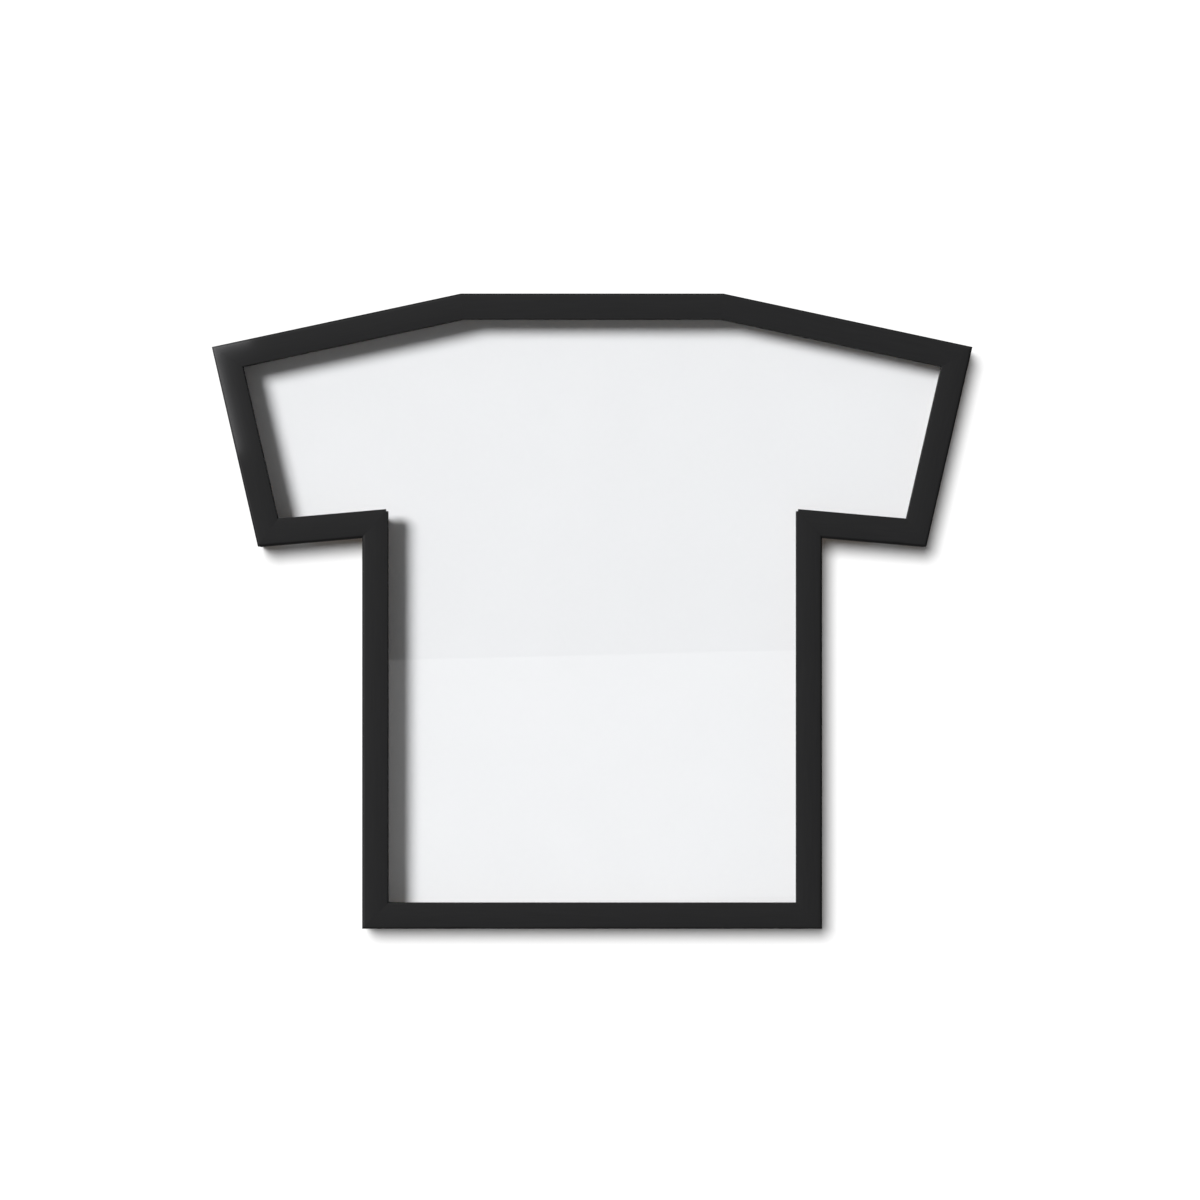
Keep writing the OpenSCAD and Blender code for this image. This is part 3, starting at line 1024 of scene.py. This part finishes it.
class DISPLAYFRAME_OT_bumpers(bpy.types.Operator):
    """The domed rubber bumpers that rest on the wall"""

    bl_idname = "displayframe.bumpers"
    bl_label = "Bumpers"
    bl_options = {"REGISTER", "UNDO"}

    def execute(self, context):
        scene = context.scene
        settings = scene.displayframe_hardware
        rubber = moulded_black("bumper_rubber", settings.rubber, 0.50, 0.68, 1700.0, 0.03 * MM)
        for side in ("left", "right"):
            node = side + "_bumper"
            middle = (low(node) + high(node)) / 2
            radius = (high(node).x - low(node).x) / 2
            height = high(node).y - low(node).y
            flat_r = radius / 2
            round_r = radius - flat_r
            turns = [math.radians(a) for a in range(0, 91, 10)]
            arc = [(flat_r + round_r * math.cos(a), height - round_r + round_r * math.sin(a))
                   for a in turns]
            bm = turned_piece([(0.0, 0.0), (radius, 0.0)] + arc + [(0.0, height)],
                              settings.facets)
            bm.transform(Matrix.Translation((middle.x, low(node).y, middle.z)) @ FACING_BACK)
            outwards(bm)
            make_piece(bm, side + "_pad", "frame", [node], [rubber])
        return {"FINISHED"}


class DISPLAYFRAME_OT_nails(bpy.types.Operator):
    """The corner nails that close the mitres"""

    bl_idname = "displayframe.nails"
    bl_label = "Corner nails"
    bl_options = {"REGISTER", "UNDO"}

    def execute(self, context):
        scene = context.scene
        steel = plated_steel("nail_steel", scene.displayframe_hardware.nail_steel, 3200.0)
        dress("corner_nails", steel)
        return {"FINISHED"}


# ---------------------------------------------------------------- stage


def centre_of_frame():
    lowest, highest = CAD_BOX
    return (Vector(lowest) + Vector(highest)) / 2


def plane_on_stage(name, centre, width, height, turn, material):
    """A flat stage piece of that size, turned and then placed, in its own mesh."""
    bm = bmesh.new()
    bmesh.ops.create_grid(bm, x_segments=1, y_segments=1, size=0.5)
    bmesh.ops.scale(bm, verts=bm.verts[:], vec=(width, height, 1.0))
    bm.transform(Matrix.Translation(centre) @ turn)
    mesh = bpy.data.meshes.new(name)
    bm.to_mesh(mesh)
    bm.free()
    mesh.materials.append(material)
    plane = bpy.data.objects.new(name, mesh)
    bpy.context.scene.collection.objects.link(plane)
    return plane


def one_sided(tree, shader):
    """Clears a surface away from behind, and for the light of lamps."""
    behind = put(tree, "NewGeometry").outputs["Backfacing"]
    shadow = put(tree, "LightPath").outputs["Is Shadow Ray"]
    away = calc(tree, "MAXIMUM", behind, shadow)
    clear = put(tree, "BsdfTransparent").outputs[0]
    both = put(tree, "MixShader", {0: away, 1: shader.outputs[0], 2: clear}).outputs[0]
    tree.links.new(both, tree.nodes["Material Output"].inputs["Surface"])


def area_light(name, place, target, width, height, power, roll=0.0):
    light = bpy.data.lights.new(name, "AREA")
    light.shape = "RECTANGLE"
    light.size = width
    light.size_y = height
    light.energy = power
    lamp = bpy.data.objects.new(name, light)
    bpy.context.scene.collection.objects.link(lamp)
    facing = (Vector(target) - Vector(place)).to_track_quat("-Z", "Y").to_matrix().to_4x4()
    lamp.matrix_world = Matrix.Translation(place) @ facing @ Matrix.Rotation(roll, 4, "Z")
    return lamp


def far_light(name, towards, strength, spread_angle):
    """A broad light from so far away that it is even over the whole stage."""
    light = bpy.data.lights.new(name, "SUN")
    light.energy = strength
    light.angle = spread_angle
    lamp = bpy.data.objects.new(name, light)
    bpy.context.scene.collection.objects.link(lamp)
    lamp.matrix_world = Vector(towards).to_track_quat("-Z", "Y").to_matrix().to_4x4()
    return lamp


def light_only(lamp, receivers, state):
    """Lights only these objects, or all but these."""
    group = bpy.data.collections.new(lamp.name + "_receivers")
    lamp.light_linking.receiver_collection = group
    for receiver in receivers:
        group.objects.link(receiver)
    for member in group.collection_objects:
        member.light_linking.link_state = state


def light_world(scene, ambient):
    """A pale surround to the eye, and a low even light on everything."""
    world = bpy.data.worlds.new("pale_surround")
    world.use_nodes = True
    scene.world = world
    tree = world.node_tree
    tree.nodes.clear()
    seen = put(tree, "Background", Color=(0.9, 0.9, 0.9, 1.0), Strength=1.0).outputs[0]
    even = put(tree, "Background", Color=(1.0, 1.0, 1.0, 1.0), Strength=ambient).outputs[0]
    eye = put(tree, "LightPath").outputs["Is Camera Ray"]
    both = put(tree, "MixShader", {0: eye, 1: even, 2: seen}).outputs[0]
    put(tree, "OutputWorld", {"Surface": both})


WALL_GAP = 0.5 * MM
WALL_WIDTH = 7.0
WALL_HEIGHT = 4.0
FLOOR_SIZE = 12.0

# Where the far lights shine to, and how broad each of them looks.
KEY_TOWARDS = (1.56, 2.0, -0.86)
KEY_SPREAD = math.radians(21)
WALL_LIGHT_TOWARDS = (0.215, 1.0, -0.25)
WALL_LIGHT_SPREAD = math.radians(24)
FLOOR_LIGHT_TOWARDS = (0.2, 0.3, -1.0)
FLOOR_LIGHT_SPREAD = math.radians(60)

# The lights behind the wall, one a side, from the frame's middle.
BEHIND_ASIDE = 1.5
BEHIND_BACK = 2.2
BEHIND_UP = 1.3
BEHIND_SIZE = 1.4

# The card that the window reflects, from the camera.
CARD_TOP = -0.095
CARD_WIDTH = 0.8
CARD_HEIGHT = 0.425
CARD_BACK = 0.02
CARD_ROLL = math.radians(1.4)

# The corner lights: how far outside the edge, ahead of it and past the tip they stand.
GLOW_OUT = 0.5 * MM
GLOW_AHEAD = 7.5 * MM
GLOW_WIDTH = 3 * MM
GLOW_PAST = 7 * MM
GLOW_RUNS = {"left_sleeve_end": 100 * MM, "left_shoulder": 40 * MM}


def glow_along_corner(power_per_metre):
    """Low strip lights over the outer edges of the two rails that meet at the left sleeve's tip."""
    tip = len(OUTLINE) - 1
    rails = [bpy.data.objects[name + "_moulding"] for name in GLOW_RUNS]
    for name, i, sign in (("left_sleeve_end", tip - 1, -1), ("left_shoulder", tip, 1)):
        lit = GLOW_RUNS[name]
        run = along(i) * sign
        spot = point(tip) + run * (lit / 2 - GLOW_PAST) - inward(i) * GLOW_OUT
        strip = area_light("glow_" + name, (spot.x, FRONT - GLOW_AHEAD, spot.y),
                           (spot.x, FRONT, spot.y), lit, GLOW_WIDTH, power_per_metre * lit)
        across = strip.matrix_world.to_3x3().transposed() @ Vector((run.x, 0.0, run.y))
        strip.matrix_world = strip.matrix_world @ Matrix.Rotation(
            math.atan2(across.y, across.x), 4, "Z")
        strip.visible_camera = False
        light_only(strip, rails, "INCLUDE")


def backdrops(settings):
    """The wall that the frame hangs on and the floor in front of it."""
    upright = Matrix.Rotation(math.radians(90), 4, "X")
    wall_paint, wall_tree, wall_shader = pale_plaster("wall_paint", settings.pale)
    one_sided(wall_tree, wall_shader)
    floor_paint = pale_plaster("floor_paint", settings.pale)[0]
    wall = plane_on_stage("wall", (0.0, WALL_GAP, settings.floor_z + WALL_HEIGHT / 2),
                          WALL_WIDTH, WALL_HEIGHT, upright, wall_paint)
    floor = plane_on_stage("floor", (0.0, 0.0, settings.floor_z), FLOOR_SIZE, FLOOR_SIZE,
                           Matrix.Identity(4), floor_paint)
    for backdrop in (wall, floor):
        backdrop.visible_diffuse = False
        backdrop.visible_glossy = False
        backdrop.visible_transmission = False
    return wall, floor


def lamps(settings, wall, floor):
    """The main light, one each for the wall and the floor, and two behind the frame."""
    key = far_light("key", KEY_TOWARDS, settings.key_strength, KEY_SPREAD)
    light_only(key, [wall], "EXCLUDE")
    wash = far_light("wall_wash", WALL_LIGHT_TOWARDS, settings.wall_strength, WALL_LIGHT_SPREAD)
    light_only(wash, [wall], "INCLUDE")
    even = far_light("floor_wash", FLOOR_LIGHT_TOWARDS, settings.floor_strength,
                     FLOOR_LIGHT_SPREAD)
    light_only(even, [floor], "INCLUDE")
    middle = centre_of_frame()
    for side, name in ((-1, "behind_left"), (1, "behind_right")):
        place = middle + Vector((side * BEHIND_ASIDE, BEHIND_BACK, BEHIND_UP))
        lamp = area_light(name, place, middle, BEHIND_SIZE, BEHIND_SIZE, settings.back_power)
        light_only(lamp, [floor, wall], "EXCLUDE")
    glow_along_corner(settings.glow_power)


def reflected_card(eye, power):
    """A pale card just below the camera, which only the window reflects."""
    place = eye + Vector((0.0, -CARD_BACK, CARD_TOP - CARD_HEIGHT / 2))
    card = area_light("card", place, place + Vector((0.0, 1.0, 0.0)), CARD_WIDTH, CARD_HEIGHT,
                      power, CARD_ROLL)
    card.visible_camera = False
    light_only(card, [bpy.data.objects["clear_window"]], "INCLUDE")


def camera_at(eye, lens):
    """A level camera that looks straight at the wall."""
    data = bpy.data.cameras.new("camera")
    data.lens = lens
    data.sensor_width = 36.0
    camera = bpy.data.objects.new("camera", data)
    bpy.context.scene.collection.objects.link(camera)
    camera.location = eye
    camera.rotation_euler = (math.radians(90), 0.0, 0.0)
    return camera


class DISPLAYFRAME_OT_stage(bpy.types.Operator):
    """The wall, the floor, the lights and the camera"""

    bl_idname = "displayframe.stage"
    bl_label = "Stage"
    bl_options = {"REGISTER", "UNDO"}

    def execute(self, context):
        scene = context.scene
        settings = scene.displayframe_stage
        scene.view_settings.view_transform = "Standard"
        wall, floor = backdrops(settings)
        lamps(settings, wall, floor)
        eye = Vector((settings.camera_x, FRONT - settings.camera_distance, settings.camera_z))
        reflected_card(eye, settings.card_power)
        light_world(scene, settings.ambient)
        scene.camera = camera_at(eye, settings.lens)
        return {"FINISHED"}


# ---------------------------------------------------------------- panel and registration

SETTINGS = {"displayframe_frame": FrameSettings, "displayframe_back": BackSettings,
            "displayframe_hardware": HardwareSettings, "displayframe_stage": StageSettings}
STEPS = [DISPLAYFRAME_OT_mouldings, DISPLAYFRAME_OT_window, DISPLAYFRAME_OT_spacers,
         DISPLAYFRAME_OT_form_panel, DISPLAYFRAME_OT_back_board, DISPLAYFRAME_OT_turn_buttons,
         DISPLAYFRAME_OT_screws, DISPLAYFRAME_OT_hangers, DISPLAYFRAME_OT_bumpers,
         DISPLAYFRAME_OT_nails, DISPLAYFRAME_OT_stage]


class DISPLAYFRAME_PT_panel(bpy.types.Panel):
    """Lists the building steps and their sizes and colours"""

    bl_label = "Display frame"
    bl_idname = "DISPLAYFRAME_PT_panel"
    bl_space_type = "VIEW_3D"
    bl_region_type = "UI"
    bl_category = "Display frame"

    def draw(self, context):
        for step in STEPS:
            self.layout.operator(step.bl_idname)
        for name in SETTINGS:
            box = self.layout.box()
            group = getattr(context.scene, name)
            for prop in group.bl_rna.properties:
                if not prop.is_readonly and prop.identifier != "name":
                    box.prop(group, prop.identifier)


CLASSES = [*SETTINGS.values(), *STEPS, DISPLAYFRAME_PT_panel]


def register():
    for cls in CLASSES:
        bpy.utils.register_class(cls)
    for name, group in SETTINGS.items():
        setattr(bpy.types.Scene, name, PointerProperty(type=group))


def unregister():
    for name in SETTINGS:
        delattr(bpy.types.Scene, name)
    for cls in reversed(CLASSES):
        bpy.utils.unregister_class(cls)


def main():
    register()
    for step in STEPS:
        name = step.bl_idname.split(".")[1]
        getattr(bpy.ops.displayframe, name)()


if __name__ == "__main__":
    main()
